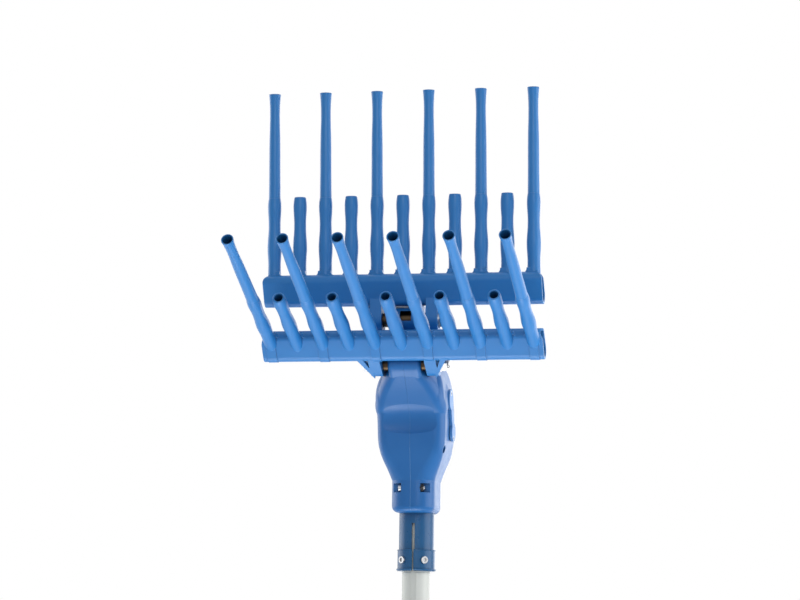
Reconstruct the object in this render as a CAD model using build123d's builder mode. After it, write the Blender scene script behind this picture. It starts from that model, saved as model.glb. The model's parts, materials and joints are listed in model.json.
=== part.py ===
from build123d import *
import math
import os

os.makedirs("parts", exist_ok=True)

# The pole stands on the origin and runs up +Z. The combs open towards -Y and their bars lie along X.
# Sizes are in millimetres and angles in degrees.

# Pole section and its foot
pole_diameter = 30.0
pole_wall = 2.0
pole_exposed = 240.0
pole_in_sleeve = 88.0
pole_groove_width = 5.0
pole_groove_depth = 0.6
pole_mark_width = 1.0
pole_mark_depth = 0.25
plug_length = 14.0
inlet_diameter = 15.0
inlet_depth = 9.0
inlet_pin_diameter = 2.4
inlet_pin_spacing = 6.0
inlet_pin_length = 6.0
lead_diameter = 6.0

# Clamp at the foot of the head
sleeve_wall = 3.8
sleeve_below_head = 62.0
sleeve_in_head = 34.0
sleeve_slot_width = 3.2
sleeve_slot_length = 51.0
band_height = 23.0
band_wall = 1.3
band_gap = 1.6
clamp_screw_angle = 35.0
clamp_screw_diameter = 4.0
clamp_screw_length = 3.4
clamp_screw_head_diameter = 7.6
clamp_screw_head_height = 2.4

# Drive head casing
collar_width = 47.0
collar_depth = 67.5
collar_height = 34.0
collar_corner = 20.0
collar_foot_round = 7.0
collar_back = -4.25
collar_floor = 5.0
body_width = 78.0
body_depth = 73.0
body_height = 133.0
body_corner = 12.0
shell_wall = 3.0
front_wall = 6.0
parting_gap = 0.02
dimple_radius = 26.0
dimple_width = 78.0
dimple_depth = 3.0
dimple_reach = 70.0
dimple_rise = 92.0
slot_inner = 10.5
slot_outer = 30.0
slot_height = 9.5
slot_rise = 21.0
slot_depth = 8.5
collar_bolt_diameter = 4.0
collar_bolt_head_diameter = 7.0
collar_bolt_head_height = 3.0
collar_bolt_end = 1.5
collar_nut_width = 7.0
shell_screw_diameter = 4.0
shell_screw_grip = 17.0
shell_screw_head_diameter = 7.0
shell_screw_head_height = 3.0
shell_nut_width = 7.0
shell_boss_diameter = 11.0
shell_recess_diameter = 8.4

# Neck and pivots of the combs, as heights above the collar's foot and reach in front of the pole's axis
front_pivot_reach = 71.8
front_pivot_rise = 155.0
rear_pivot_reach = 76.7
rear_pivot_rise = 201.4
neck_width = 36.0
neck_cavity_width = 29.0
pivot_boss_diameter = 26.0
eye_boss_diameter = 24.0
crank_boss_diameter = 46.0
neck_wall = 2.6
neck_edge = 5.0
lug_relief_gap = 1.3
window_left = 4.0
window_right = 8.5
window_height = 11.0
window_rise = 3.0

# Axles, bushes and levers
axle_diameter = 10.0
axle_head_width = 16.0
axle_head_height = 6.4
axle_nut_height = 8.0
axle_end = 2.5
washer_diameter = 18.0
washer_thickness = 1.6
bush_wall = 2.0
bush_flange_diameter = 15.0
spacer_diameter = 15.0
lever_length = 18.0
lever_thickness = 5.0
lever_hub_diameter = 19.0
lever_eye_diameter = 12.0
rod_pin_diameter = 6.0

# Crank, gears and rods
crank_reach = 20.0
crank_rise = 122.0
crankshaft_diameter = 10.0
shaft_end_inset = 3.5
eccentric_throw = 3.45
eccentric_diameter = 20.0
rod_thickness = 7.0
rod_middle_gap = 2.0
rod_eye_diameter = 12.0
rod_ring_wall = 3.0
rod_ring_slack = 1.5
rod_shank_width = 8.0
crank_half_turn = 60.0
crank_bearing_diameter = 26.0
crank_bearing_width = 8.0
bearing_boss_wall = 3.4
gear_module = 1.25
gear_teeth = 40
pinion_teeth = 20
gear_width = 8.0
gear_side_gap = 2.5
gear_line_angle = 24.8
gear_hub_diameter = 18.0
gear_backlash = 0.3

# Motor, lying across the head
can_diameter = 38.0
can_wall = 1.6
can_left = 26.0
can_right = 8.0
end_cap_thickness = 4.0
motor_shaft_diameter = 6.0
motor_bearing_diameter = 12.0
motor_bearing_width = 3.5
magnet_thickness = 3.3
magnet_length = 20.0
magnet_gap = 12.0
core_diameter = 25.0
core_length = 18.0
core_slots = 6
core_slot_width = 3.0
core_slot_depth = 6.0
commutator_diameter = 12.0
commutator_length = 5.5
brush_width = 3.0
brush_length = 6.0
brush_post = 2.5
terminal_width = 14.0
terminal_depth = 12.0
terminal_height = 8.0
rib_thickness = 3.0
rib_rise = 10.0
left_rib_start = 24.0
right_rib_start = 4.5

# Side covers, two joined discs over the ends of the crank and motor shafts
cover_crank_diameter = 22.0
cover_motor_diameter = 20.0
cover_waist = 10.0
cover_thickness = 2.8
cover_proud = 1.5
cover_screw_diameter = 2.6
cover_screw_head_diameter = 5.2
cover_screw_head_height = 1.0
cover_screw_length = 4.0
cover_screw_offset = 6.5

# Combs, in a frame with the pivot at its origin, the tines along its Z and the outer face on its -Y side
front_lean = 66.5
rear_lean = 4.1
comb_half_swing = 10.0
long_tines = 6
long_reach = 214.0
short_reach = 101.5
tine_inset = 3.0
bar_reach = 31.0
bar_length = 302.0
bar_end_margin = 10.0
bar_end_round = 8.0
bar_shift = 2.0
bar_foot_inset = 0.3
bar_foot_reach = 24.2
bar_foot_radius = 9.2
bar_top_inset = 8.8
bar_top_reach = 41.4
bar_top_radius = 7.5
bar_wall = 2.4
root_round = 4.5
root_thickness = 4.4
root_inset = 7.4
root_sink = 1.0
ridge_width = 10.0
ridge_proud = 1.3
stub_root_radius = 7.0
stub_waist_radius = 6.75
stub_swell_radius = 7.6
stub_slim_radius = 6.55
stub_bead_radius = 7.2
stub_tip_radius = 6.3
stub_bore = 8.8
tine_radius = 6.05
tine_slim_radius = 5.48
tine_flare_radius = 6.4
tine_mouth_radius = 5.2
tine_mouth_flare = 10.0
tine_insert = 40.0
tine_insert_bore = 6.4
tine_mouth_depth = 60.0
lug_inner = 24.0
lug_width = 12.5
lug_radius = 13.0
lug_root_radius = 9.0
brace_span = 13.0
brace_width = 7.0
brace_drop = 9.0
brace_depth = 3.4

# Gaps between pieces
seat_gap = 0.05
running_gap = 0.05
sliding_gap = 0.3
swing_gap = 0.6

# Places worked out from the sizes above
collar_foot = pole_exposed + sleeve_below_head
crank = (-crank_reach, collar_foot + crank_rise)
front_pivot = (-front_pivot_reach, collar_foot + front_pivot_rise)
rear_pivot = (-rear_pivot_reach, collar_foot + rear_pivot_rise)
pole_radius = pole_diameter / 2
pole_bore_radius = pole_radius - pole_wall
sleeve_inner_radius = pole_radius + 2 * seat_gap
sleeve_radius = sleeve_inner_radius + sleeve_wall
gear_distance = gear_module * (gear_teeth + pinion_teeth) / 2
gear_line = math.radians(gear_line_angle)
motor = (crank[0] + gear_distance * math.sin(gear_line), crank[1] - gear_distance * math.cos(gear_line))
neck_half = neck_width / 2
cavity_half = neck_cavity_width / 2
bush_flange_thickness = lug_inner - sliding_gap - neck_half
crankshaft_length = body_width - 2 * shaft_end_inset
bearing_face = crankshaft_length / 2
bearing_start = bearing_face - crank_bearing_width
gear_start = bearing_start - gear_side_gap - gear_width
tine_pitch = (bar_length - 2 * bar_end_margin) / (long_tines - 1)
rod_start = rod_middle_gap / 2
rod_end = rod_start + rod_thickness
lever_start = rod_end + sliding_gap
lever_end = lever_start + lever_thickness


def lever_eye(pivot):
    """Eye of a lever that stands square to its connecting rod when the crank is at mid-stroke."""
    run = crank[0] - pivot[0]
    drop = crank[1] - pivot[1]
    angle = math.atan2(drop, run) + math.acos(lever_length / math.hypot(run, drop))
    return (pivot[0] + lever_length * math.cos(angle), pivot[1] + lever_length * math.sin(angle))


def crank_point(eye, distance):
    """Point beside the crank's axis, square to the line from the axis to a lever's eye."""
    run = eye[0] - crank[0]
    rise = eye[1] - crank[1]
    length = math.hypot(run, rise)
    return (crank[0] + distance * rise / length, crank[1] - distance * run / length)


front_eye = lever_eye(front_pivot)
rear_eye = lever_eye(rear_pivot)
front_eccentric = crank_point(front_eye, eccentric_throw)
rear_eccentric = crank_point(rear_eye, -eccentric_throw)
ring_lag = eccentric_throw * (1 - math.cos(math.radians(crank_half_turn))) / 2
front_ring = crank_point(front_eye, eccentric_throw - ring_lag)
rear_ring = crank_point(rear_eye, ring_lag - eccentric_throw)


def across(start):
    """Plane square to X, drawn in Y and Z, at a distance along X."""
    return Plane.YZ.offset(start)


def comb_frame(pivot, lean, right):
    """Plane of a comb at rest, leaning forward from upright, with its X to the right or to the left."""
    tilt = math.radians(lean)
    up = (0, -math.sin(tilt), math.cos(tilt))
    return Plane(origin=(0, pivot[0], pivot[1]), x_dir=(right, 0, 0), z_dir=up)


front_frame = comb_frame(front_pivot, front_lean, 1)
rear_frame = comb_frame(rear_pivot, rear_lean, -1)

# Pole with its key groove down the front and a ring that marks how far the sleeve goes on
with BuildPart() as pole:
    with BuildSketch():
        Circle(pole_radius)
        Circle(pole_bore_radius, mode=Mode.SUBTRACT)
        with Locations((0, -pole_radius)):
            Rectangle(pole_groove_width, 2 * pole_groove_depth, mode=Mode.SUBTRACT)
    extrude(amount=pole_exposed + pole_in_sleeve)
    with BuildSketch(Plane.XY.offset(pole_exposed - 2 * pole_mark_width)):
        Circle(pole_radius)
        Circle(pole_radius - pole_mark_depth, mode=Mode.SUBTRACT)
    extrude(amount=pole_mark_width, mode=Mode.SUBTRACT)
pole.part.label = "pole"
export_step(pole.part, "parts/pole.step")

# End plug in the pole's foot, holding the inlet
with BuildPart() as pole_end_plug:
    with BuildSketch():
        Circle(pole_bore_radius - seat_gap)
    extrude(amount=plug_length)
    with BuildSketch():
        Circle(inlet_diameter / 2 + seat_gap)
    extrude(amount=inlet_depth, mode=Mode.SUBTRACT)
    with BuildSketch():
        Circle(lead_diameter / 2 + seat_gap)
    extrude(amount=plug_length, mode=Mode.SUBTRACT)
pole_end_plug.part.label = "pole_end_plug"
export_step(pole_end_plug.part, "parts/pole_end_plug.step")

# Power inlet with two pins in a round well
with BuildPart() as power_inlet:
    with BuildSketch():
        Circle(inlet_diameter / 2)
    extrude(amount=inlet_depth)
    with BuildSketch():
        Circle(inlet_diameter / 2 - pole_wall)
    extrude(amount=inlet_pin_length, mode=Mode.SUBTRACT)
    with BuildSketch(Plane.XY.offset(pole_wall)):
        with GridLocations(inlet_pin_spacing, 0, 2, 1):
            Circle(inlet_pin_diameter / 2)
    extrude(amount=inlet_pin_length - pole_wall)
power_inlet.part.label = "power_inlet"
export_step(power_inlet.part, "parts/power_inlet.step")

# Terminal block under the motor, and the lead that runs up the pole to it
terminal_foot = motor[1] - can_diameter / 2 - terminal_height / 2
with BuildPart() as motor_terminal:
    with BuildSketch(Plane.XY.offset(terminal_foot)):
        Rectangle(terminal_width, terminal_depth)
    extrude(amount=terminal_height)
    with BuildSketch(across(-terminal_width)):
        with Locations(motor):
            Circle(can_diameter / 2 + seat_gap)
    extrude(amount=2 * terminal_width, mode=Mode.SUBTRACT)
motor_terminal.part.label = "motor_terminal"
export_step(motor_terminal.part, "parts/motor_terminal.step")

with BuildPart() as power_lead:
    with BuildSketch(Plane.XY.offset(inlet_depth)):
        Circle(lead_diameter / 2)
    extrude(amount=terminal_foot - inlet_depth)
power_lead.part.label = "power_lead"
export_step(power_lead.part, "parts/power_lead.step")

# Clamp sleeve, slotted down the front below the head
with BuildPart() as clamp_sleeve:
    with BuildSketch(Plane.XY.offset(pole_exposed)):
        Circle(sleeve_radius)
        Circle(sleeve_inner_radius, mode=Mode.SUBTRACT)
    extrude(amount=sleeve_below_head + sleeve_in_head)
    with BuildSketch(Plane.XY.offset(pole_exposed)):
        with Locations((0, -sleeve_radius)):
            Rectangle(sleeve_slot_width, 2 * sleeve_radius - 2 * pole_bore_radius)
    extrude(amount=sleeve_slot_length, mode=Mode.SUBTRACT)
clamp_screw_z = pole_exposed + band_height / 2
band_inner_radius = sleeve_radius + seat_gap
band_radius = band_inner_radius + band_wall


def clamp_screw_plane(side):
    """Plane on the band's outside, square to a clamp screw, beside the slot."""
    turn = math.radians(side * clamp_screw_angle)
    out = (math.sin(turn), -math.cos(turn), 0)
    return Plane(origin=(band_radius * out[0], band_radius * out[1], clamp_screw_z), z_dir=out)


with BuildPart() as clamp_band:
    with BuildSketch(Plane.XY.offset(pole_exposed)):
        Circle(band_radius)
        Circle(band_inner_radius, mode=Mode.SUBTRACT)
        with Locations((0, -band_radius)):
            Rectangle(band_gap, 2 * band_radius - 2 * pole_bore_radius, mode=Mode.SUBTRACT)
    extrude(amount=band_height)
    for side in (-1, 1):
        with BuildSketch(clamp_screw_plane(side)):
            Circle(clamp_screw_diameter / 2 + seat_gap)
        extrude(amount=clamp_screw_length, both=True, mode=Mode.SUBTRACT)
clamp_band.part.label = "clamp_band"
export_step(clamp_band.part, "parts/clamp_band.step")

with BuildPart() as clamp_bored:
    add(clamp_sleeve.part)
    for side in (-1, 1):
        with BuildSketch(clamp_screw_plane(side)):
            Circle(clamp_screw_diameter / 2 + seat_gap)
        extrude(amount=-clamp_screw_length - seat_gap, mode=Mode.SUBTRACT)
clamp_bored.part.label = "clamp_sleeve"
export_step(clamp_bored.part, "parts/clamp_sleeve.step")

with BuildPart() as clamp_screws:
    for side in (-1, 1):
        with BuildSketch(clamp_screw_plane(side)):
            Circle(clamp_screw_diameter / 2)
        extrude(amount=-clamp_screw_length)
        with BuildSketch(clamp_screw_plane(side)):
            Circle(clamp_screw_head_diameter / 2)
        extrude(amount=clamp_screw_head_height)
        with BuildSketch(clamp_screw_plane(side).offset(clamp_screw_head_height)):
            RegularPolygon(clamp_screw_diameter / 2, 6, major_radius=False)
        extrude(amount=-clamp_screw_head_height / 2, mode=Mode.SUBTRACT)
clamp_screws.part.label = "clamp_screws"
export_step(clamp_screws.part, "parts/clamp_screws.step")

# Stations of the body above the collar: share of the height, then reach and section as shares of the
# body's depth and width, forward lean and corner radius
foot_section = (-collar_back / body_depth, collar_width / body_width, collar_depth / body_depth)
stations = [
    (0.0, *foot_section, 0.0, collar_corner),
    (0.09, 0.089, 0.715, 0.918, 0.0, 0.6 * collar_corner + 0.4 * body_corner),
    (0.17, 0.113, 0.83, 0.925, 0.0, 0.3 * collar_corner + 0.7 * body_corner),
    (0.26, 0.128, 0.915, 0.955, 0.0, body_corner),
    (0.42, 0.14, 0.955, 0.985, 0.0, body_corner),
    (0.56, 0.18, 0.965, 1.0, 4.0, body_corner),
    (0.68, 0.30, 0.965, 0.985, 10.0, body_corner),
    (0.80, 0.37, 0.92, 0.85, 14.0, body_corner),
    (0.91, 0.425, 0.75, 0.685, 18.0, body_corner),
    (1.0, 0.48, 0.54, 0.55, 20.0, body_corner),
]

# Stations of the throat that leads from the body to the front pivot, given in the same way
throat_stations = [
    (0.593, 0.27, 0.95, 0.71, 40.0, body_corner),
    (0.732, 0.565, 0.92, 0.60, 40.0, body_corner),
    (0.802, 0.715, 0.77, 0.50, 42.0, body_corner),
    (0.863, 0.86, 0.59, 0.41, 45.0, body_corner),
    (0.895, 0.94, 0.46, 0.36, 48.0, body_corner),
]

# Casing screws: shares of the body's depth behind the pole's axis and of its height above the collar
shell_screw_places = [(-0.43 * body_depth, 0.25 * body_height), (0.22 * body_depth, 0.27 * body_height),
                      (0.235 * body_depth, 0.57 * body_height)]


def station_plane(rise, reach, lean):
    """Plane across the casing at a height above the collar."""
    tilt = math.radians(lean)
    up = (0, -math.sin(tilt), math.cos(tilt))
    return Plane(origin=(0, -reach, collar_foot + collar_height + rise), x_dir=(1, 0, 0), z_dir=up)


def corner(width, depth, largest):
    """Corner radius of a casing section, smaller on the narrow sections."""
    return min(largest, 0.42 * width, 0.42 * depth)


# Outer form of the casing: body, throat and collar
with BuildPart() as form:
    for share, reach, wide, deep, lean, rounding in stations:
        with BuildSketch(station_plane(share * body_height, reach * body_depth, lean)):
            width = wide * body_width
            depth = deep * body_depth
            RectangleRounded(width, depth, corner(width, depth, rounding))
    loft()
    with BuildSketch(station_plane(-collar_height, -collar_back, 0)):
        RectangleRounded(collar_width, collar_depth, corner(collar_width, collar_depth, collar_corner))
    extrude(amount=collar_height)
    fillet(form.faces().sort_by(Axis.Z)[0].edges(), radius=collar_foot_round)

with BuildPart() as throat:
    for share, reach, wide, deep, lean, rounding in throat_stations:
        with BuildSketch(station_plane(share * body_height, reach * body_depth, lean)):
            width = wide * body_width
            depth = deep * body_depth
            RectangleRounded(width, depth, corner(width, depth, rounding))
    loft()

# Lens-shaped dimple in the front of the body, under the throat
dimple_centre = (0, -dimple_reach, collar_foot + dimple_rise)
with BuildPart() as dimple:
    with BuildSketch(Plane(origin=dimple_centre, x_dir=(1, 0, 0), z_dir=(0, 0, 1))):
        with BuildLine():
            end_radius = dimple_radius - dimple_depth
            lens = ThreePointArc(
                (-dimple_width / 2, end_radius),
                (0, dimple_radius),
                (dimple_width / 2, end_radius),
            )
            Polyline(lens @ 1, (dimple_width / 2, 0), (-dimple_width / 2, 0), lens @ 0)
        make_face()
    revolve(axis=Axis(dimple_centre, (1, 0, 0)))

# Hollow of the body, held off the collar's floor, the top and the thicker front
room_height = body_height - collar_floor - shell_wall
with BuildPart() as cavity:
    for share, reach, wide, deep, lean, rounding in stations:
        back = (front_wall - shell_wall) / 2
        with BuildSketch(station_plane(collar_floor + share * room_height, reach * body_depth - back, lean)):
            width = wide * body_width - 2 * shell_wall
            depth = deep * body_depth - shell_wall - front_wall
            RectangleRounded(width, depth, corner(width, depth, rounding))
    loft()


def neck_circles(shrink):
    """Centres and radii whose hulls make the neck's side view: lower neck, upper neck and rear pivot head."""
    pivot_radius = pivot_boss_diameter / 2 - shrink
    eye_radius = eye_boss_diameter / 2 - shrink
    crank_radius = crank_boss_diameter / 2 - shrink
    lower = [(front_pivot, pivot_radius), (front_eye, eye_radius), (crank, crank_radius)]
    upper = [(front_eye, eye_radius), (rear_eye, eye_radius), (crank, crank_radius)]
    head = [(rear_pivot, pivot_radius), (rear_eye, eye_radius)]
    return [lower, upper, head]


neck_parts = []
for circles in neck_circles(0):
    with BuildPart() as neck:
        with BuildSketch(across(-neck_half)):
            for place, radius in circles:
                with Locations(place):
                    Circle(radius)
            make_hull()
        extrude(amount=neck_width)
        fillet(neck.faces().filter_by(Axis.X).edges(), radius=neck_edge)
    neck_parts.append(neck.part)

with BuildPart() as neck_room:
    for circles in neck_circles(neck_wall):
        with BuildSketch(across(-cavity_half)):
            for place, radius in circles:
                with Locations(place):
                    Circle(radius)
            make_hull()
        extrude(amount=neck_cavity_width)

# Ribs that carry the motor, bosses for the crank bearings and tubes for the casing screws
with BuildPart() as supports:
    rib_top = motor[1] + rib_rise
    for start, end in ((-left_rib_start, rib_thickness - left_rib_start),
                       (right_rib_start, right_rib_start + rib_thickness)):
        with BuildSketch(across(start)):
            with Locations((0, rib_top)):
                Rectangle(2 * body_depth, rib_top - collar_foot, align=(Align.CENTER, Align.MAX))
        extrude(amount=end - start)
    with BuildSketch(across(-body_width / 2)):
        for reach, rise in shell_screw_places:
            with Locations((reach, collar_foot + collar_height + rise)):
                Circle(shell_boss_diameter / 2)
    extrude(amount=body_width)
    with BuildSketch(across(-bearing_face)):
        with Locations(motor):
            Circle(can_diameter / 2 + seat_gap)
    extrude(amount=crankshaft_length, mode=Mode.SUBTRACT)
    for start in (-bearing_face - shell_wall, bearing_start):
        with BuildSketch(across(start)):
            with Locations(crank):
                Circle(crank_bearing_diameter / 2 + bearing_boss_wall)
        extrude(amount=crank_bearing_width + shell_wall)
    add(form.part, mode=Mode.INTERSECT)


def cover_outline(grow):
    """Two discs joined by a waist, over the ends of the crank and motor shafts."""
    with BuildSketch() as outline:
        with Locations(crank):
            Circle(cover_crank_diameter / 2 + grow)
        with Locations(motor):
            Circle(cover_motor_diameter / 2 + grow)
        with BuildLine():
            middle = Line(crank, motor)
        trace(middle, line_width=cover_waist + 2 * grow)
    return outline.sketch


cover_back = body_width / 2 + cover_proud - cover_thickness
slot_front = collar_back - collar_depth / 2
slot_back = slot_front + slot_depth
collar_bolt_place = ((slot_front + slot_back) / 2, collar_foot + slot_rise + slot_height / 2)
cover_screw_places = (
    (crank[0], crank[1] + cover_screw_offset),
    (motor[0], motor[1] - cover_screw_offset),
)

# Whole casing before it is parted
with BuildPart() as casing:
    add(form.part)
    add(throat.part)
    add(neck_parts)
    add(cavity.part, mode=Mode.SUBTRACT)
    add(neck_room.part, mode=Mode.SUBTRACT)
    add(supports.part)
    add(dimple.part, mode=Mode.SUBTRACT)
    # seat of the clamp sleeve and the way for the lead
    with BuildSketch(Plane.XY.offset(collar_foot)):
        Circle(sleeve_radius + seat_gap)
    extrude(amount=sleeve_in_head + seat_gap, mode=Mode.SUBTRACT)
    with BuildSketch(Plane.XY.offset(collar_foot)):
        Circle(pole_bore_radius)
    extrude(amount=terminal_foot + terminal_height - collar_foot, mode=Mode.SUBTRACT)
    # bores and spot faces for the pivot bushes, and room for the turning lugs
    for pivot in (front_pivot, rear_pivot):
        with BuildSketch(across(-neck_half)):
            with Locations(pivot):
                Circle(axle_diameter / 2 + running_gap + bush_wall + seat_gap)
        extrude(amount=neck_width, mode=Mode.SUBTRACT)
        for start in (-lug_inner, neck_half):
            with BuildSketch(across(start)):
                with Locations(pivot):
                    Circle(bush_flange_diameter / 2 + sliding_gap)
            extrude(amount=lug_inner - neck_half, mode=Mode.SUBTRACT)
    for start in (-body_width, lug_inner - lug_relief_gap):
        with BuildSketch(across(start)):
            with Locations(front_pivot):
                Circle(lug_radius + lug_relief_gap)
        extrude(amount=body_width - lug_inner + lug_relief_gap, mode=Mode.SUBTRACT)
    # room for the foot of the rear bar at the back end of its swing
    back_tilt = math.radians(rear_lean - comb_half_swing)
    rear_foot = (rear_pivot[0] - bar_foot_inset * math.cos(back_tilt) - bar_foot_reach * math.sin(back_tilt),
                 rear_pivot[1] - bar_foot_inset * math.sin(back_tilt) + bar_foot_reach * math.cos(back_tilt))
    with BuildSketch(across(-neck_half)):
        with Locations(rear_foot):
            Circle(bar_foot_radius + swing_gap)
    extrude(amount=neck_width, mode=Mode.SUBTRACT)
    # seats of the crank bearings
    for start in (-bearing_face, bearing_start):
        with BuildSketch(across(start)):
            with Locations(crank):
                Circle(crank_bearing_diameter / 2 + seat_gap)
        extrude(amount=crank_bearing_width, mode=Mode.SUBTRACT)
    # casing screws with a deep recess at each end
    for reach, rise in shell_screw_places:
        with BuildSketch(across(-body_width / 2)):
            with Locations((reach, collar_foot + collar_height + rise)):
                Circle(shell_screw_diameter / 2 + seat_gap)
        extrude(amount=body_width, mode=Mode.SUBTRACT)
        for start in (-body_width / 2, shell_screw_grip):
            with BuildSketch(across(start)):
                with Locations((reach, collar_foot + collar_height + rise)):
                    Circle(shell_recess_diameter / 2)
            extrude(amount=body_width / 2 - shell_screw_grip, mode=Mode.SUBTRACT)
    # slots in the collar, with the bolt through the web between them
    with BuildSketch(Plane.XZ.offset(-slot_back)):
        with Locations((0, collar_foot + slot_rise + slot_height / 2)):
            with GridLocations(slot_inner + slot_outer, 0, 2, 1):
                Rectangle(slot_outer - slot_inner, slot_height)
    extrude(amount=slot_depth + slot_height, mode=Mode.SUBTRACT)
    with BuildSketch(across(-slot_inner)):
        with Locations(collar_bolt_place):
            Circle(collar_bolt_diameter / 2 + seat_gap)
    extrude(amount=2 * slot_inner, mode=Mode.SUBTRACT)
    # pockets of the side covers
    for side in (-1, 1):
        with BuildSketch(across(side * cover_back)):
            add(cover_outline(seat_gap))
        extrude(amount=side * (cover_thickness + cover_proud), mode=Mode.SUBTRACT)
    for side in (-1, 1):
        with BuildSketch(across(side * cover_back)):
            with Locations(*cover_screw_places):
                Circle(cover_screw_diameter / 2 + seat_gap)
        extrude(amount=-side * cover_screw_length, mode=Mode.SUBTRACT)
    # window that shows the spacer on the rear axle
    with BuildSketch(Plane.XZ.offset(rear_pivot_reach)):
        with Locations((0, rear_pivot[1] + window_rise)):
            with Locations(((window_right - window_left) / 2, 0)):
                Rectangle(window_left + window_right, window_height)
    extrude(amount=pivot_boss_diameter, mode=Mode.SUBTRACT)

with BuildPart() as housing_left:
    add(casing.part)
    split(bisect_by=across(-parting_gap / 2), keep=Keep.BOTTOM)
housing_left.part.label = "housing_left"
export_step(housing_left.part, "parts/housing_left.step")

with BuildPart() as housing_right:
    add(casing.part)
    split(bisect_by=across(parting_gap / 2), keep=Keep.TOP)
housing_right.part.label = "housing_right"
export_step(housing_right.part, "parts/housing_right.step")

# Side covers and their screws
for side, name in ((-1, "side_cover_left"), (1, "side_cover_right")):
    with BuildPart() as side_cover:
        with BuildSketch(across(side * cover_back)):
            add(cover_outline(0))
        extrude(amount=side * cover_thickness)
        with BuildSketch(across(side * cover_back)):
            with Locations(*cover_screw_places):
                Circle(cover_screw_diameter / 2 + seat_gap)
        extrude(amount=side * cover_thickness, mode=Mode.SUBTRACT)
        with BuildSketch(across(side * (cover_back + cover_thickness))):
            with Locations(*cover_screw_places):
                Circle(cover_screw_head_diameter / 2 + seat_gap)
        extrude(amount=-side * cover_screw_head_height, mode=Mode.SUBTRACT)
    side_cover.part.label = name
    export_step(side_cover.part, f"parts/{name}.step")

with BuildPart() as cover_screws:
    for side in (-1, 1):
        with BuildSketch(across(side * (cover_back + cover_thickness))):
            with Locations(*cover_screw_places):
                Circle(cover_screw_head_diameter / 2)
        extrude(amount=-side * cover_screw_head_height)
        with BuildSketch(across(side * (cover_back + cover_thickness - cover_screw_head_height))):
            with Locations(*cover_screw_places):
                Circle(cover_screw_diameter / 2)
        extrude(amount=-side * cover_screw_length)
cover_screws.part.label = "cover_screws"
export_step(cover_screws.part, "parts/cover_screws.step")

# Casing screws with nuts
with BuildPart() as shell_screws:
    for reach, rise in shell_screw_places:
        with BuildSketch(across(-shell_screw_grip - shell_screw_head_height)):
            with Locations((reach, collar_foot + collar_height + rise)):
                Circle(shell_screw_diameter / 2)
        extrude(amount=2 * shell_screw_grip + shell_screw_head_height)
        with BuildSketch(across(shell_screw_grip)):
            with Locations((reach, collar_foot + collar_height + rise)):
                Circle(shell_screw_head_diameter / 2)
        extrude(amount=shell_screw_head_height)
shell_screws.part.label = "shell_screws"
export_step(shell_screws.part, "parts/shell_screws.step")

with BuildPart() as shell_nuts:
    for reach, rise in shell_screw_places:
        with BuildSketch(across(-shell_screw_grip)):
            with Locations((reach, collar_foot + collar_height + rise)):
                RegularPolygon(shell_nut_width / 2, 6, major_radius=False)
                Circle(shell_screw_diameter / 2 + seat_gap, mode=Mode.SUBTRACT)
        extrude(amount=-shell_screw_head_height)
shell_nuts.part.label = "shell_nuts"
export_step(shell_nuts.part, "parts/shell_nuts.step")

# Collar bolt, with its head in the left slot and its nut in the right one
with BuildPart() as collar_bolt:
    with BuildSketch(across(-slot_inner)):
        with Locations(collar_bolt_place):
            Circle(collar_bolt_head_diameter / 2)
    extrude(amount=-collar_bolt_head_height)
    with BuildSketch(across(-slot_inner)):
        with Locations(collar_bolt_place):
            Circle(collar_bolt_diameter / 2)
    extrude(amount=2 * slot_inner + collar_bolt_head_height + collar_bolt_end)
collar_bolt.part.label = "collar_bolt"
export_step(collar_bolt.part, "parts/collar_bolt.step")

with BuildPart() as collar_nut:
    with BuildSketch(across(slot_inner)):
        with Locations(collar_bolt_place):
            RegularPolygon(collar_nut_width / 2, 6, major_radius=False)
            Circle(collar_bolt_diameter / 2 + seat_gap, mode=Mode.SUBTRACT)
    extrude(amount=collar_bolt_head_height)
collar_nut.part.label = "collar_nut"
export_step(collar_nut.part, "parts/collar_nut.step")

# Motor: can, end cap with brush posts, magnets, brushes and bearings
with BuildPart() as motor_can:
    with BuildSketch(across(-can_left)):
        with Locations(motor):
            Circle(can_diameter / 2)
    extrude(amount=can_left + can_right)
    with BuildSketch(across(-can_left)):
        with Locations(motor):
            Circle(can_diameter / 2 - can_wall)
    extrude(amount=can_left + can_right - motor_bearing_width, mode=Mode.SUBTRACT)
    with BuildSketch(across(-can_left)):
        with Locations(motor):
            Circle(motor_bearing_diameter / 2 + seat_gap)
    extrude(amount=can_left + can_right, mode=Mode.SUBTRACT)
motor_can.part.label = "motor_can"
export_step(motor_can.part, "parts/motor_can.step")

brush_start = commutator_diameter / 2 + running_gap
with BuildPart() as motor_end_cap:
    with BuildSketch(across(-can_left)):
        with Locations(motor):
            Circle(can_diameter / 2)
            Circle(motor_bearing_diameter / 2 + seat_gap, mode=Mode.SUBTRACT)
    extrude(amount=-end_cap_thickness)
    for side in (-1, 1):
        with BuildSketch(across(-can_left)):
            with Locations((motor[0] + side * (brush_start + brush_length + brush_post / 2), motor[1])):
                Rectangle(brush_post, 2 * brush_width)
        extrude(amount=commutator_length)
motor_end_cap.part.label = "motor_end_cap"
export_step(motor_end_cap.part, "parts/motor_end_cap.step")

with BuildPart() as motor_magnets:
    magnet_radius = can_diameter / 2 - can_wall - seat_gap
    with BuildSketch(across(can_right - motor_bearing_width - magnet_length)):
        with Locations(motor):
            Circle(magnet_radius)
            Circle(magnet_radius - magnet_thickness, mode=Mode.SUBTRACT)
            Rectangle(magnet_gap, can_diameter, mode=Mode.SUBTRACT)
    extrude(amount=magnet_length)
motor_magnets.part.label = "motor_magnets"
export_step(motor_magnets.part, "parts/motor_magnets.step")

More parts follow.
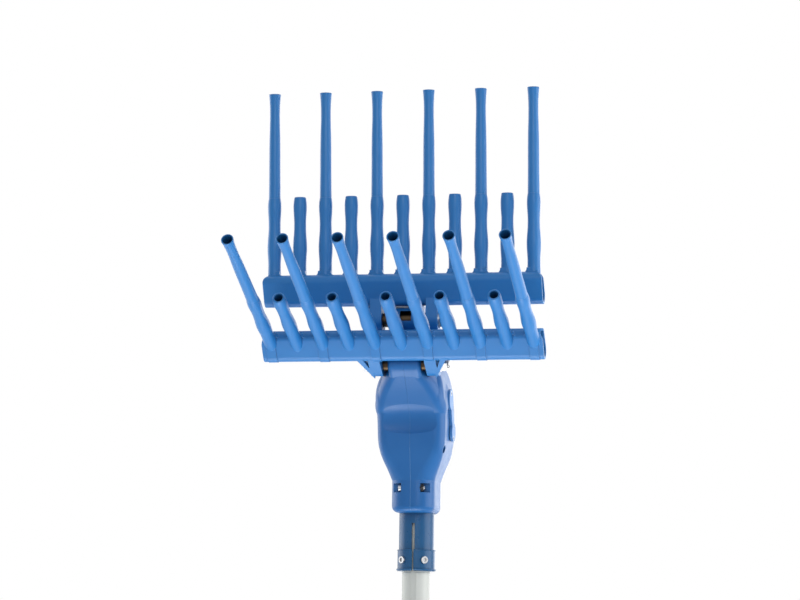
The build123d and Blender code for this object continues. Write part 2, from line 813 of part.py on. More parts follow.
with BuildPart() as motor_brushes:
    with BuildSketch(across(-can_left + commutator_length / 2 - brush_width / 2)):
        with Locations(motor):
            with GridLocations(2 * brush_start + brush_length, 0, 2, 1):
                Rectangle(brush_length, brush_width)
    extrude(amount=brush_width)
motor_brushes.part.label = "motor_brushes"
export_step(motor_brushes.part, "parts/motor_brushes.step")

with BuildPart() as motor_bearings:
    for start in (-can_left - motor_bearing_width, can_right - motor_bearing_width):
        with BuildSketch(across(start)):
            with Locations(motor):
                Circle(motor_bearing_diameter / 2)
                Circle(motor_shaft_diameter / 2 + running_gap, mode=Mode.SUBTRACT)
        extrude(amount=motor_bearing_width)
motor_bearings.part.label = "motor_bearings"
export_step(motor_bearings.part, "parts/motor_bearings.step")

# Rotor: shaft, slotted core and commutator
gear_end = gear_start + gear_width
with BuildPart() as rotor_shaft:
    with BuildSketch(across(-can_left - end_cap_thickness)):
        with Locations(motor):
            Circle(motor_shaft_diameter / 2)
    extrude(amount=can_left + end_cap_thickness + gear_end)
rotor_shaft.part.label = "rotor_shaft"
export_step(rotor_shaft.part, "parts/rotor_shaft.step")

core_start = can_right - motor_bearing_width - (magnet_length + core_length) / 2
with BuildPart() as rotor_core:
    with BuildSketch(across(core_start)):
        with Locations(motor):
            Circle(core_diameter / 2)
            Circle(motor_shaft_diameter / 2 + seat_gap, mode=Mode.SUBTRACT)
            with PolarLocations((core_diameter - core_slot_depth) / 2, core_slots):
                Rectangle(core_slot_depth, core_slot_width, mode=Mode.SUBTRACT)
    extrude(amount=core_length)
rotor_core.part.label = "rotor_core"
export_step(rotor_core.part, "parts/rotor_core.step")

with BuildPart() as commutator:
    with BuildSketch(across(-can_left)):
        with Locations(motor):
            Circle(commutator_diameter / 2)
            Circle(motor_shaft_diameter / 2 + seat_gap, mode=Mode.SUBTRACT)
    extrude(amount=commutator_length)
commutator.part.label = "commutator"
export_step(commutator.part, "parts/commutator.step")


def gear_points(teeth, centre, first):
    """Outline of a spur gear with straight flanks, one tooth centred on the angle first."""
    pitch_radius = gear_module * teeth / 2
    tooth = math.pi * gear_module / 2 - gear_backlash
    slope = math.tan(math.radians(20))
    points = []
    for index in range(teeth):
        angle = first + 2 * math.pi * index / teeth
        for side, level in ((-1, -1.25), (-1, 0.9), (1, 0.9), (1, -1.25)):
            radius = pitch_radius + level * gear_module
            half = (tooth / 2 - level * gear_module * slope) / radius
            points.append((centre[0] + radius * math.cos(angle + side * half),
                           centre[1] + radius * math.sin(angle + side * half)))
    return points


# Gear pair: a tooth of the crank gear lies in a gap of the pinion on the line between their axes
mesh_angle = math.atan2(motor[1] - crank[1], motor[0] - crank[0])
with BuildPart() as crank_gear:
    with BuildSketch(across(gear_start)):
        with BuildLine():
            Polyline(*gear_points(gear_teeth, crank, mesh_angle), close=True)
        make_face()
        with Locations(crank):
            Circle(crankshaft_diameter / 2 + seat_gap, mode=Mode.SUBTRACT)
            with PolarLocations((gear_hub_diameter + gear_module * gear_teeth) / 4, 5):
                Circle(gear_module * 4, mode=Mode.SUBTRACT)
    extrude(amount=gear_width)
crank_gear.part.label = "crank_gear"
export_step(crank_gear.part, "parts/crank_gear.step")

with BuildPart() as pinion:
    with BuildSketch(across(gear_start)):
        with BuildLine():
            pinion_turn = mesh_angle + math.pi + math.pi / pinion_teeth
            Polyline(*gear_points(pinion_teeth, motor, pinion_turn), close=True)
        make_face()
        with Locations(motor):
            Circle(motor_shaft_diameter / 2 + seat_gap, mode=Mode.SUBTRACT)
    extrude(amount=gear_width)
pinion.part.label = "pinion"
export_step(pinion.part, "parts/pinion.step")

# Crankshaft with its two eccentrics
with BuildPart() as crankshaft:
    with BuildSketch(across(-bearing_face)):
        with Locations(crank):
            Circle(crankshaft_diameter / 2)
    extrude(amount=crankshaft_length)
    for start, centre in ((-rod_end, front_eccentric), (rod_start, rear_eccentric)):
        with BuildSketch(across(start)):
            with Locations(centre):
                Circle(eccentric_diameter / 2)
        extrude(amount=rod_thickness)
    with BuildSketch(across(-rod_start)):
        with Locations(crank):
            Circle(crankshaft_diameter / 2 + eccentric_throw / 2)
    extrude(amount=rod_middle_gap)
crankshaft.part.label = "crankshaft"
export_step(crankshaft.part, "parts/crankshaft.step")

with BuildPart() as crank_bearings:
    for start in (-bearing_face, bearing_start):
        with BuildSketch(across(start)):
            with Locations(crank):
                Circle(crank_bearing_diameter / 2)
                Circle(crankshaft_diameter / 2 + running_gap, mode=Mode.SUBTRACT)
        extrude(amount=crank_bearing_width)
crank_bearings.part.label = "crank_bearings"
export_step(crank_bearings.part, "parts/crank_bearings.step")

# Connecting rods: a ring round the eccentric, a shank and a small eye on the lever's pin
ring_bore_radius = eccentric_diameter / 2 + rod_ring_slack
for name, start, ring, eye in (("front_rod", -rod_end, front_ring, front_eye),
                               ("rear_rod", rod_start, rear_ring, rear_eye)):
    with BuildPart() as rod:
        with BuildSketch(across(start)):
            with BuildLine():
                middle = Line(ring, eye)
            trace(middle, line_width=rod_shank_width)
            with Locations(ring):
                Circle(ring_bore_radius + rod_ring_wall)
                Circle(ring_bore_radius, mode=Mode.SUBTRACT)
            with Locations(eye):
                Circle(rod_eye_diameter / 2)
                Circle(rod_pin_diameter / 2 + running_gap, mode=Mode.SUBTRACT)
        extrude(amount=rod_thickness)
    rod.part.label = name
    export_step(rod.part, f"parts/{name}.step")

# Levers on the axles, with the pins that carry the rods
for name, start, pin_start, pivot, eye in (("front", -lever_end, -lever_end, front_pivot, front_eye),
                                           ("rear", lever_start, rod_start, rear_pivot, rear_eye)):
    with BuildPart() as lever:
        with BuildSketch(across(start)):
            with Locations(pivot):
                Circle(lever_hub_diameter / 2)
            with Locations(eye):
                Circle(lever_eye_diameter / 2)
            make_hull()
            with Locations(pivot):
                Circle(axle_diameter / 2 + seat_gap, mode=Mode.SUBTRACT)
            with Locations(eye):
                Circle(rod_pin_diameter / 2 + seat_gap, mode=Mode.SUBTRACT)
        extrude(amount=lever_thickness)
    lever.part.label = f"{name}_lever"
    export_step(lever.part, f"parts/{name}_lever.step")
    with BuildPart() as rod_pin:
        with BuildSketch(across(pin_start)):
            with Locations(eye):
                Circle(rod_pin_diameter / 2)
        extrude(amount=lever_end - rod_start)
    rod_pin.part.label = f"{name}_rod_pin"
    export_step(rod_pin.part, f"parts/{name}_rod_pin.step")

# Bronze bushes in the neck's cheeks, with flanges that face the lugs
bush_bore_radius = axle_diameter / 2 + running_gap
for name, pivot in (("front_bushes", front_pivot), ("rear_bushes", rear_pivot)):
    with BuildPart() as bushes:
        for side in (-1, 1):
            with BuildSketch(across(side * cavity_half)):
                with Locations(pivot):
                    Circle(bush_bore_radius + bush_wall)
            extrude(amount=side * (neck_half - cavity_half))
            with BuildSketch(across(side * neck_half)):
                with Locations(pivot):
                    Circle(bush_flange_diameter / 2)
            extrude(amount=side * bush_flange_thickness)
        with BuildSketch(across(-lug_inner)):
            with Locations(pivot):
                Circle(bush_bore_radius)
        extrude(amount=2 * lug_inner, mode=Mode.SUBTRACT)
    bushes.part.label = name
    export_step(bushes.part, f"parts/{name}.step")

# Spacers that fill each axle between the lever and the far cheek
for name, start, pivot in (("front_spacer", -lever_start, front_pivot),
                           ("rear_spacer", sliding_gap - cavity_half, rear_pivot)):
    with BuildPart() as spacer:
        with BuildSketch(across(start)):
            with Locations(pivot):
                Circle(spacer_diameter / 2)
                Circle(axle_diameter / 2 + seat_gap, mode=Mode.SUBTRACT)
        extrude(amount=cavity_half - sliding_gap + lever_start)
    spacer.part.label = name
    export_step(spacer.part, f"parts/{name}.step")

# Axle bolt, washers and nut, drawn in the comb's frame
lug_outer = lug_inner + lug_width
nut_start = lug_outer + washer_thickness
with BuildPart() as axle:
    with BuildSketch(across(-nut_start - axle_head_height)):
        RegularPolygon(axle_head_width / 2, 6, major_radius=False)
    extrude(amount=axle_head_height)
    with BuildSketch(across(-nut_start)):
        Circle(axle_diameter / 2)
    extrude(amount=2 * nut_start + axle_nut_height + axle_end)
    chamfer(axle.edges().filter_by(GeomType.CIRCLE).sort_by(Axis.X)[-1], length=axle_end / 2)

with BuildPart() as axle_washers:
    for start in (-nut_start, lug_outer):
        with BuildSketch(across(start)):
            Circle(washer_diameter / 2)
            Circle(axle_diameter / 2 + seat_gap, mode=Mode.SUBTRACT)
        extrude(amount=washer_thickness)

with BuildPart() as axle_nut:
    with BuildSketch(across(nut_start)):
        RegularPolygon(axle_head_width / 2, 6, major_radius=False)
        Circle(axle_diameter / 2 + seat_gap, mode=Mode.SUBTRACT)
    extrude(amount=axle_nut_height)

# Tine stub: a spike with a swelling and a bead, drawn upright from the level that tine lengths start at
with BuildPart() as stub:
    with BuildSketch(Plane.XZ):
        with BuildLine():
            side_curve = Spline(
                (stub_root_radius, 0),
                (stub_root_radius, 0.2 * short_reach),
                (stub_waist_radius, 0.3 * short_reach),
                (stub_swell_radius, 0.465 * short_reach),
                (stub_slim_radius, 0.65 * short_reach),
                (stub_slim_radius, 0.77 * short_reach),
                (stub_bead_radius, 0.885 * short_reach),
                (stub_tip_radius, short_reach),
            )
            Polyline(side_curve @ 1, (0, short_reach), (0, 0), side_curve @ 0)
        make_face()
    revolve(axis=Axis.Z)

# Long tine: a slim tube with a flared mouth and a spigot that seats in the stub's bore
with BuildPart() as long_tine:
    with BuildSketch(Plane.XZ):
        spigot = stub_bore / 2 - seat_gap
        with BuildLine():
            tine_curve = Spline(
                (stub_tip_radius, short_reach),
                (tine_radius, 0.6 * long_reach),
                (0.5 * (tine_radius + tine_slim_radius), 0.78 * long_reach),
                (tine_slim_radius, 0.945 * long_reach),
                (tine_flare_radius, long_reach),
            )
            Polyline(
                tine_curve @ 1,
                (tine_mouth_radius, long_reach),
                (stub_bore / 2, long_reach - tine_mouth_flare),
                (stub_bore / 2, long_reach - tine_mouth_depth),
                (tine_insert_bore / 2, long_reach - tine_mouth_depth),
                (tine_insert_bore / 2, short_reach - tine_insert),
                (spigot, short_reach - tine_insert),
                (spigot, short_reach),
                tine_curve @ 0,
            )
        make_face()
    revolve(axis=Axis.Z)

# Outer face of the lugs, a plane that touches the round of the lug and its root on the bar
bar_foot = (bar_foot_inset, bar_foot_reach)
lug_span = math.hypot(bar_foot_inset, bar_foot_reach)
lug_turn = math.atan2(bar_foot_inset, bar_foot_reach) + math.asin((lug_radius - lug_root_radius) / lug_span)
lug_normal = (0, -math.cos(lug_turn), math.sin(lug_turn))
lug_touch = (0, lug_radius * lug_normal[1], lug_radius * lug_normal[2])
brace_plane = Plane(origin=lug_touch, x_dir=(1, 0, 0), z_dir=lug_normal)

# Slope of the bar's outer face, which touches the rounds at its foot and at its top
bar_top = bar_top_reach + bar_top_radius
bar_run = (bar_top_inset - bar_foot_inset, bar_top_reach - bar_foot_reach)
face_turn = math.atan2(*bar_run) + math.asin((bar_foot_radius - bar_top_radius) / math.hypot(*bar_run))


def bar_section(shrink, out):
    """Section of the bar, a slanting teardrop, thinned all round or moved out square to its outer face."""
    move = (-out * math.cos(face_turn), out * math.sin(face_turn))
    with BuildSketch() as section:
        with Locations((bar_foot_inset + move[0], bar_foot_reach + move[1])):
            Circle(bar_foot_radius - shrink)
        with Locations((bar_top_inset + move[0], bar_top_reach + move[1])):
            Circle(bar_top_radius - shrink)
        make_hull()
    return section.sketch


# Comb moulding: bar, ridges, stubs with round roots between them, pivot lugs and braces
stub_pitch = tine_pitch / 2
root_gap = stub_pitch - 2 * stub_root_radius
bar_start = bar_shift - bar_length / 2
long_places = [
    (bar_shift + (index - (long_tines - 1) / 2) * tine_pitch, tine_inset)
    for index in range(long_tines)
]
short_places = [(x + stub_pitch, y) for x, y in long_places[:-1]]
with BuildPart() as comb:
    with BuildSketch(across(bar_start)):
        add(bar_section(0, 0))
    extrude(amount=bar_length)
    with BuildSketch(Plane.XZ) as plan:
        with Locations((bar_shift, bar_top)):
            Rectangle(bar_length, bar_top, align=(Align.CENTER, Align.MAX))
        fillet(plan.vertices().group_by(Axis.Y)[-1], radius=bar_end_round)
    extrude(amount=bar_top, both=True, mode=Mode.INTERSECT)
    for x, y in long_places:
        with BuildSketch(across(x - ridge_width / 2)):
            add(bar_section(0, ridge_proud))
        extrude(amount=ridge_width)
    with Locations(*[(x, y, bar_reach) for x, y in long_places + short_places]):
        add(stub.part)
    with BuildSketch(Plane.XZ.offset(-root_inset)):
        with Locations((bar_shift, 0)):
            with GridLocations(stub_pitch, 0, 2 * long_tines - 2, 1):
                with Locations((0, bar_top + root_round)):
                    Rectangle(stub_pitch, bar_top_radius + root_round, align=(Align.CENTER, Align.MAX))
            with GridLocations(stub_pitch, 0, 2 * long_tines - 2, 1):
                with Locations((0, bar_top - root_sink + stub_pitch / 2)):
                    RectangleRounded(root_gap, stub_pitch, root_round, mode=Mode.SUBTRACT)
    extrude(amount=root_thickness / 2, both=True)
    for start in (-lug_outer, lug_inner):
        with BuildSketch(across(start)):
            Circle(lug_radius)
            with Locations(bar_foot):
                Circle(lug_root_radius)
            make_hull()
        extrude(amount=lug_width)
    for side in (-1, 1):
        with BuildSketch(brace_plane):
            with BuildLine():
                Polyline(
                    (side * (lug_outer - brace_depth), -brace_drop),
                    (side * (lug_outer - brace_depth), brace_width - brace_drop),
                    (side * (lug_outer + brace_span - brace_width), bar_foot_reach),
                    (side * (lug_outer + brace_span), bar_foot_reach),
                    close=True,
                )
            make_face()
        extrude(amount=-brace_depth)
    # bore of the bar, bores of the stubs and of the lugs
    with BuildSketch(across(bar_start)):
        add(bar_section(bar_wall, 0))
    extrude(amount=bar_length, mode=Mode.SUBTRACT)
    with BuildSketch(Plane.XY.offset(bar_top + bar_wall)):
        with Locations(*long_places, *short_places):
            Circle(stub_bore / 2)
    extrude(amount=short_reach, mode=Mode.SUBTRACT)
    with BuildSketch(across(-lug_outer)):
        Circle(axle_diameter / 2 + seat_gap)
    extrude(amount=2 * lug_outer, mode=Mode.SUBTRACT)

# The same comb, axle and tines on both pivots, turned to face each other
turned_pieces = (("comb", comb), ("axle", axle), ("axle_washers", axle_washers), ("axle_nut", axle_nut))
for name, frame in (("front", front_frame), ("rear", rear_frame)):
    for piece, source in turned_pieces:
        with BuildPart(frame) as placed:
            add(source.part)
        placed.part.label = f"{name}_{piece}"
        export_step(placed.part, f"parts/{name}_{piece}.step")
    for number, (x, y) in enumerate(long_places, start=1):
        with BuildPart(frame) as tine:
            with Locations((x, y, bar_reach)):
                add(long_tine.part)
        tine.part.label = f"{name}_tine_{number}"
        export_step(tine.part, f"parts/{name}_tine_{number}.step")
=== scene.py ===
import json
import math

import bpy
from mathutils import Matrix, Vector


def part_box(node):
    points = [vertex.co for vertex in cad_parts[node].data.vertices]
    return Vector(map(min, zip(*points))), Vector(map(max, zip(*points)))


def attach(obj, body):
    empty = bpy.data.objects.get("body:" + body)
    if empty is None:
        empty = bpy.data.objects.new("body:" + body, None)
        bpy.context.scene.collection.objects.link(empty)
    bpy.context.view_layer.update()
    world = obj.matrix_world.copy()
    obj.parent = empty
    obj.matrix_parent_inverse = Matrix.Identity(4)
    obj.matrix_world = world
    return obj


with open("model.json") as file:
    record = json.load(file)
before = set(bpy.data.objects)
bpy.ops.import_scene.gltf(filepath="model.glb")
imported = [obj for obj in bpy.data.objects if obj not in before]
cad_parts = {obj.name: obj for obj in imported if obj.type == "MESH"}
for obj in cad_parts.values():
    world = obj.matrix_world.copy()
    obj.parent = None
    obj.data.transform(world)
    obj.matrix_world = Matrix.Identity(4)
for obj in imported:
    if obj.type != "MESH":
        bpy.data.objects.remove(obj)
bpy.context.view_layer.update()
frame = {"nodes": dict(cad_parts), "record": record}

# %% [markdown]
# # Dressing an electric olive harvester
# The solids of the harvester are already built: two combs that swing against each other, a drive head and
# a pole. This lesson gives them their finishes, adds the small forms that repeat, and sets up the camera
# and the light. Everything is in metres, with the pole standing on the origin.

nodes = frame["nodes"]
joint_at = {joint["name"]: Vector(joint["pos_m"]) for joint in frame["record"]["behaviour"]["joints"]}

# %% [markdown]
# ## Camera
# The picture was taken with a long lens, from a little to the right and from below the combs. A camera
# can be aimed with a tracking constraint, but a slight roll is easier to keep in a plain matrix, so the
# three directions of the camera are worked out from its azimuth, elevation and roll.

# %% Camera
camera_data = bpy.data.cameras.new("camera")
camera_data.sensor_fit = "HORIZONTAL"
camera_data.sensor_width = 36.0
camera_data.clip_end = 30.0
focal_pixels = 2781.0
picture_width = 800
camera_data.lens = camera_data.sensor_width * focal_pixels / picture_width
camera = bpy.data.objects.new("camera", camera_data)
bpy.context.collection.objects.link(camera)
camera_place = (0.5841, -2.9551, 0.1147)
camera_degrees = (11.59, -7.95, 0.81)
azimuth, elevation, roll = (math.radians(angle) for angle in camera_degrees)
back = Vector((
    math.sin(azimuth) * math.cos(elevation),
    -math.cos(azimuth) * math.cos(elevation),
    math.sin(elevation),
))
level = Vector((math.cos(azimuth), math.sin(azimuth), 0.0))
upright = back.cross(level)
right = level * math.cos(roll) + upright * math.sin(roll)
up = upright * math.cos(roll) - level * math.sin(roll)
turned = Matrix((right, up, back)).transposed().to_4x4()
camera.matrix_world = Matrix.Translation(camera_place) @ turned
bpy.context.scene.camera = camera
print("lens", round(camera_data.lens, 1), "mm")

# %% [markdown]
# ## World
# The harvester stands in front of white. A bright world would give that white, but it would also flood the
# object with light. So the world is white only to the camera, to reflections and through glass, and a
# softer grey to everything else.

# %% World
scene = bpy.context.scene
scene.view_settings.view_transform = "Standard"
world = bpy.data.worlds.new("studio")
world.use_nodes = True
scene.world = world


def white_to_the_eye(tree):
    """Output that is 1 for rays that the camera, a mirror or glass sees, and 0 for the others."""
    path = tree.nodes.new("ShaderNodeLightPath")
    first = tree.nodes.new("ShaderNodeMath")
    first.operation = "MAXIMUM"
    tree.links.new(path.outputs["Is Camera Ray"], first.inputs[0])
    tree.links.new(path.outputs["Is Glossy Ray"], first.inputs[1])
    second = tree.nodes.new("ShaderNodeMath")
    second.operation = "MAXIMUM"
    tree.links.new(first.outputs[0], second.inputs[0])
    tree.links.new(path.outputs["Is Transmission Ray"], second.inputs[1])
    return second.outputs[0]


room_strength = 0.40
world_tree = world.node_tree
world_tree.nodes.clear()
room_light = world_tree.nodes.new("ShaderNodeBackground")
room_light.inputs["Color"].default_value = (0.93, 0.96, 1.0, 1.0)
room_light.inputs["Strength"].default_value = room_strength
white_wall = world_tree.nodes.new("ShaderNodeBackground")
white_wall.inputs["Color"].default_value = (1.0, 1.0, 1.0, 1.0)
white_wall.inputs["Strength"].default_value = 1.0
world_mix = world_tree.nodes.new("ShaderNodeMixShader")
world_out = world_tree.nodes.new("ShaderNodeOutputWorld")
world_tree.links.new(white_to_the_eye(world_tree), world_mix.inputs["Fac"])
world_tree.links.new(room_light.outputs[0], world_mix.inputs[1])
world_tree.links.new(white_wall.outputs[0], world_mix.inputs[2])
world_tree.links.new(world_mix.outputs[0], world_out.inputs["Surface"])
print("room light", room_strength)

# %% [markdown]
# ## Floor
# A floor under the pole's foot catches the shadow in views from above. A plain grey floor would end in a
# hard line at the horizon, so further out it fades into the same white for the rays that see it.

# %% Floor
floor_half = 4.0
fade_start, fade_end = 0.25, 0.9
floor_mesh = bpy.data.meshes.new("floor")
corners = [(floor_half * x, floor_half * y, 0) for x, y in ((-1, -1), (1, -1), (1, 1), (-1, 1))]
floor_mesh.from_pydata(corners, [], [(0, 1, 2, 3)])
floor = bpy.data.objects.new("floor", floor_mesh)
bpy.context.collection.objects.link(floor)
floor_paint = bpy.data.materials.new("floor_paint")
floor_paint.use_nodes = True
floor_tree = floor_paint.node_tree
floor_shader = floor_tree.nodes["Principled BSDF"]
floor_shader.inputs["Base Color"].default_value = (0.80, 0.81, 0.82, 1.0)
floor_shader.inputs["Roughness"].default_value = 0.8
from_foot = floor_tree.nodes.new("ShaderNodeVectorMath")
from_foot.operation = "LENGTH"
floor_tree.links.new(floor_tree.nodes.new("ShaderNodeTexCoord").outputs["Object"], from_foot.inputs[0])
far_share = floor_tree.nodes.new("ShaderNodeMapRange")
far_share.interpolation_type = "SMOOTHSTEP"
far_share.inputs["From Min"].default_value = fade_start
far_share.inputs["From Max"].default_value = fade_end
floor_tree.links.new(from_foot.outputs["Value"], far_share.inputs["Value"])
seen_far = floor_tree.nodes.new("ShaderNodeMath")
seen_far.operation = "MULTIPLY"
floor_tree.links.new(far_share.outputs["Result"], seen_far.inputs[0])
floor_tree.links.new(white_to_the_eye(floor_tree), seen_far.inputs[1])
floor_white = floor_tree.nodes.new("ShaderNodeEmission")
floor_mix = floor_tree.nodes.new("ShaderNodeMixShader")
floor_tree.links.new(seen_far.outputs[0], floor_mix.inputs["Fac"])
floor_tree.links.new(floor_shader.outputs[0], floor_mix.inputs[1])
floor_tree.links.new(floor_white.outputs[0], floor_mix.inputs[2])
floor_tree.links.new(floor_mix.outputs[0], floor_tree.nodes["Material Output"].inputs["Surface"])
floor_mesh.materials.append(floor_paint)
print("floor", 2 * floor_half, "m wide")

# %% [markdown]
# ## Lamps
# The picture looks as if it was taken over a white table between two white walls: what faces down or to the
# sides is pale, and what faces the camera is darkest. So a narrow lamp lies on the floor under the front
# comb and shines up, one lamp stands on each side, one hangs overhead and a large one behind gives the edges
# their glow. The last one stands near the camera and above it, and is far enough away to stay weak.

# %% Lamps


def soft_lamp(name, place, aim, size, watts, spread=180.0):
    """A square area lamp aimed at a point and kept out of the camera's sight."""
    lamp_data = bpy.data.lights.new(name, "AREA")
    lamp_data.size = size
    lamp_data.energy = watts
    lamp_data.spread = math.radians(spread)
    lamp = bpy.data.objects.new(name, lamp_data)
    lamp.location = place
    lamp.rotation_euler = (Vector(aim) - Vector(place)).to_track_quat("-Z", "Y").to_euler()
    lamp.visible_camera = False
    bpy.context.collection.objects.link(lamp)


head_centre = (0.0, -0.08, 0.48)
soft_lamp("table", (0.0, -0.28, 0.02), (0.0, -0.28, 0.60), 0.6, 0.9, 60.0)
soft_lamp("right_wall", (1.0, 0.0, 0.50), head_centre, 0.9, 6.5)
soft_lamp("left_wall", (-1.0, 0.25, 0.55), head_centre, 0.9, 5.0)
soft_lamp("overhead", (0.0, 0.1, 1.9), head_centre, 1.2, 6.0)
soft_lamp("backdrop", (0.35, 1.6, 0.6), head_centre, 1.6, 13.0)
soft_lamp("camera_side", (0.5, -2.1, 1.1), head_centre, 1.0, 10.5)
print("lamps:", [lamp.name for lamp in bpy.data.lights])

# %% [markdown]
# ## Shared surface effects
# Every finish here needs some small unevenness. A shader node group holds an effect once, with named
# inputs, and each material sets its own values. The first group is the skin of moulded plastic: a fine
# grain, faint flow marks, a lighter line on the edges that is partly wear and partly painted highlight, and
# painted shade in holes and corners. The second is drawn or turned metal, also with painted shade in its
# hollows.

# %% Node group helpers


def new_group(name, inputs, outputs):
    """An empty shader group with float or colour sockets, and its input and output nodes."""
    group = bpy.data.node_groups.new(name, "ShaderNodeTree")
    for label, value in inputs:
        kind = "NodeSocketColor" if isinstance(value, tuple) else "NodeSocketFloat"
        socket = group.interface.new_socket(label, in_out="INPUT", socket_type=kind)
        socket.default_value = value
    for label, kind in outputs:
        group.interface.new_socket(label, in_out="OUTPUT", socket_type=kind)
    return group, group.nodes.new("NodeGroupInput"), group.nodes.new("NodeGroupOutput")


def math_node(tree, operation, first, second, clamp=False):
    """A math node fed by sockets or plain numbers; returns its output."""
    node = tree.nodes.new("ShaderNodeMath")
    node.operation = operation
    node.use_clamp = clamp
    for index, value in enumerate((first, second)):
        if isinstance(value, (int, float)):
            node.inputs[index].default_value = value
        else:
            tree.links.new(value, node.inputs[index])
    return node.outputs[0]


def mix_colour(tree, factor, first, second):
    """Mixes two colours by a factor; each may be a socket or a plain colour."""
    node = tree.nodes.new("ShaderNodeMix")
    node.data_type = "RGBA"
    for socket, value in ((node.inputs[0], factor), (node.inputs[6], first), (node.inputs[7], second)):
        if isinstance(value, (int, float, tuple)):
            socket.default_value = value
        else:
            tree.links.new(value, socket)
    return node.outputs[2]


def noise(tree, place, scale, detail=3.0, rough=0.55):
    """Noise between 0 and 1 on a place vector, with a size per metre from a socket or number."""
    node = tree.nodes.new("ShaderNodeTexNoise")
    node.inputs["Detail"].default_value = detail
    node.inputs["Roughness"].default_value = rough
    tree.links.new(place, node.inputs["Vector"])
    if isinstance(scale, (int, float)):
        node.inputs["Scale"].default_value = scale
    else:
        tree.links.new(scale, node.inputs["Scale"])
    return node.outputs["Fac"]


print("helpers ready")

# %% Soft edges and painted shade in crevices
edge_samples, edge_gain = 4, 4.0
crevice_samples, crevice_falloff = 6, 2.2


def soft_edge(tree, width):
    """Normal of the surface with its edges rounded over, and a mask that is 1 on sharp edges."""
    rounded = tree.nodes.new("ShaderNodeBevel")
    rounded.samples = edge_samples
    tree.links.new(width, rounded.inputs["Radius"])
    surface = tree.nodes.new("ShaderNodeNewGeometry")
    facing = tree.nodes.new("ShaderNodeVectorMath")
    facing.operation = "DOT_PRODUCT"
    tree.links.new(rounded.outputs[0], facing.inputs[0])
    tree.links.new(surface.outputs["Normal"], facing.inputs[1])
    bend = math_node(tree, "SUBTRACT", 1.0, facing.outputs["Value"])
    return rounded.outputs[0], math_node(tree, "MULTIPLY", bend, edge_gain, clamp=True)


def crevice(tree, reach):
    """Mask for painted shade: 1 deep in holes and corners and 0 on open surfaces."""
    shut = tree.nodes.new("ShaderNodeAmbientOcclusion")
    shut.samples = crevice_samples
    tree.links.new(reach, shut.inputs["Distance"])
    closed = math_node(tree, "SUBTRACT", 1.0, shut.outputs["AO"], clamp=True)
    return math_node(tree, "POWER", closed, crevice_falloff)


print("edge and crevice helpers ready")

# %% Moulded plastic skin
surface_outputs = [
    ("Colour", "NodeSocketColor"),
    ("Roughness", "NodeSocketFloat"),
    ("Height", "NodeSocketFloat"),
    ("Normal", "NodeSocketVector"),
]
skin, skin_in, skin_out = new_group(
    "moulded_skin",
    [("Colour", (0.03, 0.16, 0.47, 1.0)), ("Pale", (0.25, 0.5, 0.85, 1.0)),
     ("Shade", (0.004, 0.012, 0.04, 1.0)), ("Grain", 900.0), ("Mottle", 0.12), ("Edge", 0.3),
     ("Edge Width", 0.0009), ("Crevice", 0.75), ("Crevice Reach", 0.014), ("Seam", 0.0),
     ("Seam Top", 0.37), ("Gloss", 0.42)],
    surface_outputs,
)
flow_scale, scuff_scale, scuff_gloss = 14.0, 120.0, 0.18
seam_half = 0.0002
skin_place = skin.nodes.new("ShaderNodeTexCoord").outputs["Object"]
flow = noise(skin, skin_place, flow_scale, 4.0)
scuff = noise(skin, skin_place, scuff_scale, 2.0)
grain = noise(skin, skin_place, skin_in.outputs["Grain"], 2.0, 0.6)
skin_normal, edge = soft_edge(skin, skin_in.outputs["Edge Width"])
# Paler edges: partly wear, varied by the scuff noise, and partly painted highlight where edges catch the
# light.
edge = math_node(skin, "MULTIPLY", edge, math_node(skin, "ADD", 0.5, scuff))
mottle = math_node(skin, "MULTIPLY", math_node(skin, "SUBTRACT", flow, 0.5), skin_in.outputs["Mottle"])
pale_share = math_node(skin, "MULTIPLY", edge, skin_in.outputs["Edge"])
pale_share = math_node(skin, "ADD", pale_share, mottle, clamp=True)
axes = skin.nodes.new("ShaderNodeSeparateXYZ")
skin.links.new(skin_place, axes.inputs[0])
from_middle = math_node(skin, "ABSOLUTE", axes.outputs["X"], 0.0)
on_seam = math_node(skin, "LESS_THAN", from_middle, seam_half)
seam = math_node(skin, "MULTIPLY", on_seam, skin_in.outputs["Seam"])
below_top = math_node(skin, "LESS_THAN", axes.outputs["Z"], skin_in.outputs["Seam Top"])
seam = math_node(skin, "MULTIPLY", seam, below_top)
pale_share = math_node(skin, "ADD", pale_share, seam, clamp=True)
skin_colour = mix_colour(skin, pale_share, skin_in.outputs["Colour"], skin_in.outputs["Pale"])
# Painted shade: in holes, gaps and corners the colour turns towards the Shade colour.
skin_painted_shade = crevice(skin, skin_in.outputs["Crevice Reach"])
shade_share = math_node(skin, "MULTIPLY", skin_painted_shade, skin_in.outputs["Crevice"])
skin_shaded = mix_colour(skin, shade_share, skin_colour, skin_in.outputs["Shade"])
skin.links.new(skin_shaded, skin_out.inputs["Colour"])
skin_shine = math_node(skin, "MULTIPLY", math_node(skin, "SUBTRACT", scuff, 0.5), scuff_gloss)
skin.links.new(math_node(skin, "ADD", skin_in.outputs["Gloss"], skin_shine), skin_out.inputs["Roughness"])
skin.links.new(grain, skin_out.inputs["Height"])
skin.links.new(skin_normal, skin_out.inputs["Normal"])
print("group", skin.name, len(skin.nodes), "nodes")

